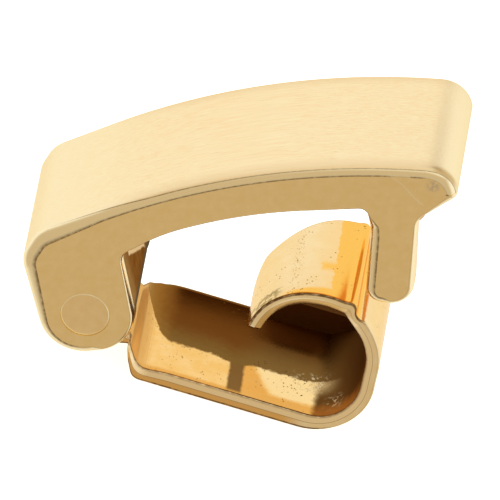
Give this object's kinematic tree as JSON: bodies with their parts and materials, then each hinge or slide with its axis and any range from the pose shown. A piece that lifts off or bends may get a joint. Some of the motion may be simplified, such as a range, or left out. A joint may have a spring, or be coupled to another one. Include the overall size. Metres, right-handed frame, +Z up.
{
  "type": "hinged jewellery clasp",
  "caption": "Hinged jewellery clasp: an arched cover turns on a pin over a bent spring strip, and its lugs snap over the strip's curled end.",
  "frame": {"origin": "middle of the flat underside of the strip's plate, which the clasp rests on", "axes": "+X along the plate from the hinge to the curl, +Y across it along the hinge pin, +Z up, away from the plate's underside"},
  "size_m": [0.0176, 0.008, 0.0153],
  "materials": {
    "cover_gilt": "pale gilt, satin on top with fine lines along the bar, polished on its faces",
    "pin_gilt": "pale gilt, polished flush with the cover's faces",
    "strip_gilt": "warm gilt, bright, with fine pits and brown tarnish in the hollows"
  },
  "bodies": {
    "strip": {"catch_strip": "strip_gilt"},
    "cover": {"cover": "cover_gilt", "hinge_pin": "pin_gilt"}
  },
  "joints": [
    {"name": "cover_hinge", "type": "hinge", "parent": "strip", "child": "cover", "pos_m": [-0.007, 0, 0.00269], "axis": [0, -1, 0], "range_deg": [-8, 65]}
  ]
}
